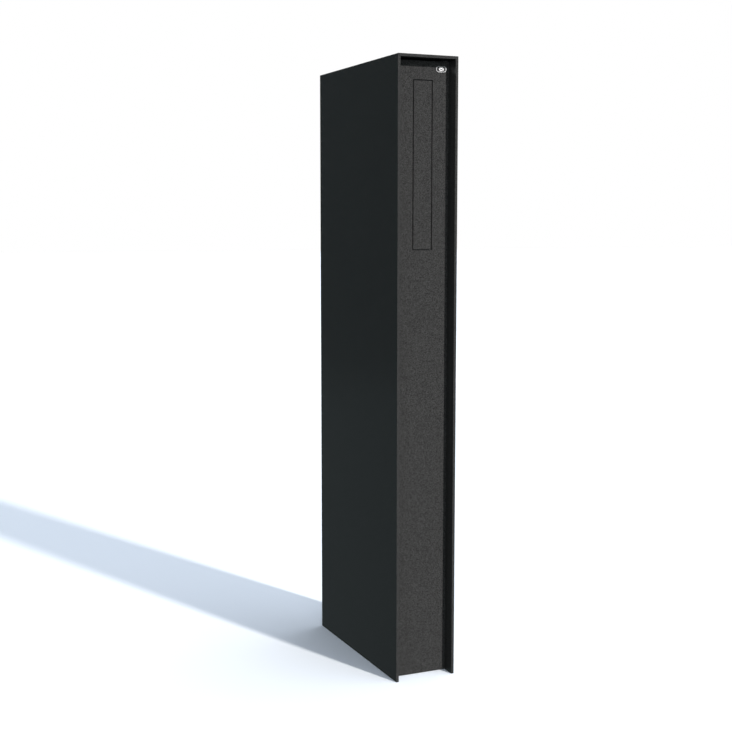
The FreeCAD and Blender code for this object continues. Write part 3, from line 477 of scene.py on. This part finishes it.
def badge():
    """Anodised badge with a raised rim round a dark field, and a plain raised envelope."""
    low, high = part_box("badge_plate")
    middle = (low + high) / 2
    half_width, half_height = (high.x - low.x) / 2, (high.z - low.z) / 2

    def loop(inset, y):
        outline = rounded_outline(half_width - inset, half_height - inset, 0.95 * half_height - inset)
        return [Vector((middle.x + x, y, middle.z + z)) for x, z in outline]

    rim, floor, enamel_film = 1.0 * MM, low.y + 0.4 * MM, 0.08 * MM
    bm = bmesh.new()
    lofted(bm, [
        loop(0, high.y), loop(0, low.y + 0.2 * MM), loop(0.06 * MM, low.y + 0.06 * MM), loop(0.2 * MM, low.y),
        loop(rim - 0.15 * MM, low.y), loop(rim, low.y + 0.1 * MM), loop(rim + 0.08 * MM, floor),
    ])
    new_piece("badge_rim", mesh_from(bm, "badge_rim", 50), "housing", "badge_metal", "badge_plate")

    bm = bmesh.new()
    lofted(bm, [loop(rim + 0.12 * MM, floor), loop(rim + 0.12 * MM, floor - enamel_film)])
    field = new_piece("badge_field", mesh_from(bm, "badge_field"), "housing", "badge_metal")
    field.data.materials[0] = ENAMEL.material

    half, rise, gap = 5.2 * MM, 3.1 * MM, 0.32 * MM  # the envelope, and the dark lines between its folds
    point, beside = -0.1 * rise, 0.9 * MM  # where the folds meet, and how far beside it they part
    flap = [(-half + 2 * gap, rise), (0, point + gap), (half - 2 * gap, rise)]
    left = [(-half, rise - 2 * gap), (-half, -rise + 2 * gap), (-1.6 * gap - beside, point + 1.1 * gap)]
    below = [
        (-half + 2 * gap, -rise), (half - 2 * gap, -rise), (beside + 0.6 * gap, point - gap),
        (0, point - 2.2 * gap), (-beside - 0.6 * gap, point - gap),
    ]
    right = [(-x, z) for x, z in left[::-1]]
    for name, outline in (("flap", flap), ("left", left), ("right", right), ("front", below)):
        placed = [(middle.x + x, middle.z + z) for x, z in outline]
        bm = extruded(placed, "y", low.y, floor - enamel_film)
        part = new_piece(f"badge_envelope_{name}", mesh_from(bm, name), "housing", "badge_metal")
        rounded_edges(part, 0.08 * MM, segments=2)


def ring_seal(name, node, width):
    """Strip of sponge rubber round an opening, mitred at its corners, with a dome on upright sides."""
    low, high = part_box(node)
    height = high.y - low.y
    steps, side = 7, 0.3
    dome = [(step / steps, math.sqrt(1 - (2 * step / steps - 1) ** 2)) for step in range(steps + 1)]
    section = [(0, 0)] + [(u, side + (1 - side) * rise) for u, rise in dome] + [(1, 0)]
    loops = []
    for side_x, side_z in ((0, 0), (1, 0), (1, 1), (0, 1)):
        loops.append([
            Vector((
                (high.x - u * width) if side_x else (low.x + u * width),
                low.y + v * height,
                (high.z - u * width) if side_z else (low.z + u * width),
            ))
            for u, v in section
        ])
    bm = bmesh.new()
    lofted(bm, loops, closed=True)
    new_piece(name, mesh_from(bm, name, 40), "housing", "seal_rubber", node)


# ---------------------------------------------------------------- inside


def threaded_studs(name, node, pitch):
    """Weld studs with a rolled thread, pointing to the rear, each with a chamfered tip."""
    loops_per_turn, around, tip_loops = 6, 18, 4
    depth = 0.55 * pitch
    bm = bmesh.new()
    for low, high in solids(node):
        middle = (low + high) / 2
        radius = (high.x - low.x) / 2
        steps = int((high.y - low.y) / pitch * loops_per_turn)
        loops = []
        for step in range(steps + 1):
            y = low.y + (high.y - low.y) * step / steps
            fade = min(1, (steps - step) / loops_per_turn, step / loops_per_turn)
            tip = 0.25 * radius * max(0, 1 - (steps - step) / tip_loops)
            loop = []
            for index in range(around):
                phase = ((y - low.y) / pitch - index / around) % 1
                cut = depth * fade * (1 - abs(2 * phase - 1))
                turn = math.tau * index / around
                reach = radius - max(cut, tip)
                loop.append(Vector((middle.x + reach * math.cos(turn), y, middle.z + reach * math.sin(turn))))
            loops.append(loop)
        lofted(bm, loops)
    new_piece(name, mesh_from(bm, name, 80), "housing", "stainless_steel", node)


def return_spring():
    """The flap's torsion spring: a close coil round the pin, with a straight leg each way."""
    wire, radius, pitch, leg = 0.5 * MM, 3.4 * MM, 1.2 * MM, 9 * MM  # half the wire, the coil's middle line
    turns, around, cut = 8, 28, 0.7  # `cut`: the wire's thickness at its chamfered ends, of its full one
    hinge = next(joint for joint in frame["joints"] if joint["name"] == "flap_swing")
    low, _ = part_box("flap_spring")
    axis = Vector((hinge["pos_m"][0], hinge["pos_m"][1], low.z + wire))
    ahead, up = Vector((0, -1, 0)), Vector((0, 0, 1))
    start = axis + ahead * radius
    reach, shoulder = Vector((leg, 0, 0)), Vector((leg - wire, 0, 0))
    path = [(start - reach, ahead, up, cut), (start - shoulder, ahead, up, 1.0)]
    for step in range(turns * around + 1):
        turn = math.tau * step / around
        out = Vector((math.sin(turn), -math.cos(turn), 0))
        path.append((axis + out * radius + up * (pitch * turn / math.tau), out, up, 1.0))
    end = start + up * (pitch * turns)
    path += [(end + shoulder, ahead, up, 1.0), (end + reach, ahead, up, cut)]
    bm = bmesh.new()
    swept(bm, path, circle(wire, 10))
    new_piece("return_spring", mesh_from(bm, "return_spring", 70), "housing", "spring_steel", "flap_spring")


# ---------------------------------------------------------------- rear


def door_pan():
    """The rear door: one sheet folded back on four sides, with rounded folds and a hole for the lock."""
    low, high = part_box("rear_door")
    sheet, fold, hole_radius, drill_reach = 2 * MM, 2.6 * MM, 8.6 * MM, 4 * MM
    bm = bmesh.new()
    lofted(bm, [
        [Vector((x, y, z)) for x, z in ((low.x, low.z), (high.x, low.z), (high.x, high.z), (low.x, high.z))]
        for y in (low.y, high.y)
    ])
    open_side = [face for face in bm.faces if all(vert.co.y < low.y + 0.1 * MM for vert in face.verts)]
    bmesh.ops.delete(bm, geom=open_side, context="FACES_ONLY")
    folds = [edge for edge in bm.edges if len(edge.link_faces) == 2]
    bmesh.ops.bevel(bm, geom=folds, offset=fold, segments=5, profile=0.5, affect="EDGES", clamp_overlap=True)
    bmesh.ops.recalc_face_normals(bm, faces=bm.faces)
    shell = bpy.data.meshes.new("door_pan")
    bm.to_mesh(shell)
    bm.free()
    pan = bpy.data.objects.new("door_pan", shell)
    bpy.context.scene.collection.objects.link(pan)
    thick = pan.modifiers.new("sheet", "SOLIDIFY")
    thick.thickness = sheet
    thick.offset = -1
    thick.use_even_offset = True
    lock_low, lock_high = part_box("lock_plug")
    axis = (lock_low + lock_high) / 2
    bm = bmesh.new()
    lofted(bm, [
        [Vector((axis.x + x, y + drill_reach, axis.z + z)) for x, z in circle(hole_radius, 48)]
        for y in (low.y, high.y)
    ])
    drill = bpy.data.objects.new("drill", mesh_from(bm, "drill"))
    bpy.context.scene.collection.objects.link(drill)
    hole = pan.modifiers.new("hole", "BOOLEAN")
    hole.operation = "DIFFERENCE"
    hole.solver = "EXACT"
    hole.object = drill
    bpy.context.view_layer.update()
    solid = bpy.data.meshes.new_from_object(pan.evaluated_get(bpy.context.evaluated_depsgraph_get()))
    for used in (pan, drill):
        bpy.data.objects.remove(used)
    bm = bmesh.new()
    bm.from_mesh(solid)
    bmesh.ops.remove_doubles(bm, verts=bm.verts, dist=5 * SAME)
    piece = new_piece("door_pan", mesh_from(bm, "door_pan", 50), "door", "panel_coat", "rear_door")
    rounded_edges(piece, 0.25 * MM, segments=2)


def lock_housing():
    """Turned lock body: a domed face on the door, and a threaded barrel through it."""
    low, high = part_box("lock_body")
    plug_low, plug_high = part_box("lock_plug")
    middle = (plug_low + plug_high) / 2
    bore, barrel, flange = 6.05 * MM, 8.5 * MM, 11 * MM  # radii
    pitch, thread, run_out = 1.0 * MM, 0.45 * MM, 1.5 * MM
    lead, chamfer, dome, around = 0.5 * MM, 0.3 * MM, 1.3 * MM, 64
    face = high.y - 3 * MM
    profile = [(bore, low.y), (barrel - lead, low.y)]
    steps = int((face - low.y - run_out) / pitch)
    for step in range(steps):
        y = low.y + lead + step * pitch
        profile += [(barrel, y), (barrel - thread, y + pitch / 2)]
    profile += [(barrel, face - 2 * chamfer), (barrel, face)]
    profile += [(flange - chamfer, face), (flange, face + chamfer), (flange, high.y - dome)]
    for step in range(1, 6):
        turn = math.radians(90 * step / 5)
        profile.append((flange - dome * (1 - math.cos(turn)), high.y - dome * (1 - math.sin(turn))))
    profile += [(bore + 1.1 * MM, high.y), (bore + 0.9 * MM, high.y - chamfer)]
    profile += [(bore + chamfer, high.y - chamfer), (bore, high.y - 2 * chamfer)]
    loops = []
    for index in range(around):
        turn = math.tau * index / around
        loops.append([
            Vector((middle.x + radius * math.cos(turn), y, middle.z + radius * math.sin(turn)))
            for radius, y in profile
        ])
    bm = bmesh.new()
    lofted(bm, loops, closed=True)
    new_piece("lock_housing", mesh_from(bm, "lock_housing", 30), "door", "lock_chrome", "lock_body")


def weld_beads():
    """Fillet welds along the hinge pads, under the coat: two on each half of each hinge."""
    section = [(1, 0), (0.92, 0.38), (0.7, 0.7), (0.38, 0.92), (0, 1), (-0.25, -0.25)]
    size, steps = 1.5 * MM, 60
    pad_middle, pad_half = 4.5 * MM, 3 * MM
    short = 2 * MM  # how far a bead stops from each end of its pad
    for half, body in (("base", "housing"), ("leaf", "door")):
        for level in ("lower", "middle", "upper"):
            low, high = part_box(f"door_hinge_{half}_{level}")
            bm = bmesh.new()
            for side in (-1, 1):
                if half == "leaf":
                    pad = (low.x + pad_middle) + side * pad_half
                    across, up, corner = Vector((side, 0, 0)), Vector((0, 1, 0)), Vector((pad, low.y, 0))
                else:
                    pad = (low.y + pad_middle) + side * pad_half
                    across, up, corner = Vector((0, side, 0)), Vector((-1, 0, 0)), Vector((high.x, pad, 0))
                length = high.z - low.z - 2 * short
                path = []
                for step in range(steps + 1):
                    ripple = 1 + 0.16 * abs(((step / 4) % 1) - 0.5)
                    taper = min(1, 0.45 + 0.2 * min(step, steps - step))
                    centre = corner + Vector((0, 0, low.z + short + length * step / steps))
                    path.append((centre, across, up, ripple * taper))
                swept(bm, path, [(u * size, v * size) for u, v in section])
            name = f"hinge_weld_{half}_{level}"
            new_piece(name, mesh_from(bm, name, 60), body, "shell_coat")


# ---------------------------------------------------------------- carried-over CAD nodes


def dress_cad_nodes():
    """Every CAD node still shown gets its finish and rounded edges, finer on the thin panel sheets."""
    fine, usual = 0.15 * MM, 0.3 * MM
    for name, node in NODES.items():
        if node.hide_render:
            continue
        node.data.materials.clear()
        node.data.materials.append(FINISHES[SLOT_OF[name]].material)
        node.modifiers.new("joined", "WELD").merge_threshold = 2 * SAME
        flat = node.modifiers.new("flats", "DECIMATE")
        flat.decimate_type = "DISSOLVE"
        flat.angle_limit = math.radians(0.5)
        rounded_edges(node, fine if SLOT_OF[name] == "panel_coat" else usual, segments=2)


# ---------------------------------------------------------------- floor, light and camera


def pale_floor():
    """A wide floor that takes shadows, but lights nothing and doesn't show in the plating."""
    floor_mesh = bpy.data.meshes.new("floor")
    reach = 40.0
    bm = bmesh.new()
    signs = ((-1, -1), (1, -1), (1, 1), (-1, 1))
    bm.faces.new([bm.verts.new((reach * x, reach * y, 0)) for x, y in signs])
    bm.to_mesh(floor_mesh)
    bm.free()
    floor = bpy.data.objects.new("floor", floor_mesh)
    bpy.context.scene.collection.objects.link(floor)
    pale = Finish("pale_floor", (0.9, 0.9, 0.9), roughness=0.9)
    mottle = pale.noise(0.25, detail=3)
    pale.colour(pale.blended(mottle, (0.89, 0.895, 0.9), (0.91, 0.91, 0.91)))
    pale.shader.inputs["Specular IOR Level"].default_value = 0
    floor_mesh.materials.append(pale.material)
    floor.visible_diffuse = False
    floor.visible_glossy = False
    return floor


def studio_light(floor):
    """Suns for the object and others for the floor, so that each can be as bright as it needs."""
    scene = bpy.context.scene
    on_floor = bpy.data.collections.new("lit_floor")
    on_object = bpy.data.collections.new("lit_object")
    on_floor.objects.link(floor)
    for thing in list(scene.collection.objects):
        if thing.type == "MESH" and thing is not floor:
            on_object.objects.link(thing)

    def sun(name, towards, strength, softness, colour, lit):
        lamp = bpy.data.lights.new(name, "SUN")
        lamp.energy = strength
        lamp.angle = math.radians(softness)
        lamp.color = colour
        holder = bpy.data.objects.new(name, lamp)
        scene.collection.objects.link(holder)
        holder.rotation_euler = Vector(towards).to_track_quat("Z", "Y").to_euler()
        holder.light_linking.receiver_collection = lit
        return holder

    # name, where it comes from, strength, softness in degrees, colour, what it lights
    sun("key", (0.20, -0.88, 0.43), 2.73, 3.0, (1.04, 1.0, 0.985), on_object)
    sun("front_fill", (-0.22, -1.0, 0.0), 0.58, 50.0, (0.95, 1.0, 1.0), on_object)
    sun("fill", (-0.7, -0.7, 0.12), 0.3, 50.0, (0.9, 1.0, 1.03), on_object)
    sun("rim", (0.4, 0.9, 0.38), 3.0, 50.0, (1.0, 1.0, 1.0), on_object)
    rear_fill = sun("rear_fill", (-0.12, 0.97, 0.2), 0.7, 40.0, (0.95, 1.0, 1.03), on_object)
    rear_fill.visible_glossy = False  # the lacquered sides would mirror it towards the camera
    sun("floor_key", (0.31, -0.85, 0.42), 3.9, 3.0, (1.0, 1.0, 1.0), on_floor)
    sun("floor_fill", (0.55, -0.45, 0.7), 3.2, 130.0, (0.89, 1.0, 1.18), on_floor)


def studio_world():
    """White to the eye. Everything else sees a dim room, a little brighter low down and black at the foot."""
    scene = bpy.context.scene
    world = bpy.data.worlds.new("studio")
    scene.world = world
    world.use_nodes = True
    tree = world.node_tree
    tree.nodes.clear()
    output = tree.nodes.new("ShaderNodeOutputWorld")
    shown = tree.nodes.new("ShaderNodeBackground")
    shown.inputs["Color"].default_value = (1, 1, 1, 1)
    shown.inputs["Strength"].default_value = 1.0
    dim = tree.nodes.new("ShaderNodeBackground")
    place = tree.nodes.new("ShaderNodeTexCoord")
    height = tree.nodes.new("ShaderNodeSeparateXYZ")
    tree.links.new(place.outputs["Generated"], height.inputs["Vector"])
    ramp = tree.nodes.new("ShaderNodeValToRGB")
    below, above = (0.15, 0.185, 0.193), (0.084, 0.104, 0.109)
    foot, low_start, low_end, top_start = 0.27, 0.33, 0.438, 0.441  # 0 is straight down, 1 straight up
    stops = ramp.color_ramp.elements
    stops[0].position, stops[0].color = foot, (0, 0, 0, 1)
    stops[1].position, stops[1].color = top_start, (*above, 1)
    for position in (low_start, low_end):
        stops.new(position).color = (*below, 1)
    shift = tree.nodes.new("ShaderNodeMapRange")
    shift.inputs["From Min"].default_value = -1
    shift.inputs["From Max"].default_value = 1
    tree.links.new(height.outputs["Z"], shift.inputs["Value"])
    tree.links.new(shift.outputs["Result"], ramp.inputs["Fac"])
    tree.links.new(ramp.outputs["Color"], dim.inputs["Color"])
    path = tree.nodes.new("ShaderNodeLightPath")
    choice = tree.nodes.new("ShaderNodeMixShader")
    tree.links.new(path.outputs["Is Camera Ray"], choice.inputs["Fac"])
    tree.links.new(dim.outputs["Background"], choice.inputs[1])
    tree.links.new(shown.outputs["Background"], choice.inputs[2])
    tree.links.new(choice.outputs["Shader"], output.inputs["Surface"])
    scene.view_settings.view_transform = "Standard"


def camera():
    """Stands left of the front, a little above the middle, and looks slightly down."""
    tilt, pan = 6.3266, 23.8725
    data = bpy.data.cameras.new("camera")
    data.sensor_width = 36.0
    data.lens = 62.24
    data.clip_start = 0.05
    data.clip_end = 200.0
    holder = bpy.data.objects.new("camera", data)
    bpy.context.scene.collection.objects.link(holder)
    holder.location = (-1.1158, -2.4237, 0.9128)
    holder.rotation_euler = (math.radians(90 - tilt), 0, math.radians(-pan))
    bpy.context.scene.camera = holder


camera()
shell_plates()
badge()
ring_seal("flap_gasket", "flap_seal", 4 * MM)
ring_seal("door_gasket", "door_seal", 6 * MM)
threaded_studs("panel_studs", "front_panel_studs", 0.8 * MM)
threaded_studs("bracket_studs", "flap_bracket_studs", 0.7 * MM)
return_spring()
door_pan()
lock_housing()
weld_beads()
dress_cad_nodes()
studio_light(pale_floor())
studio_world()
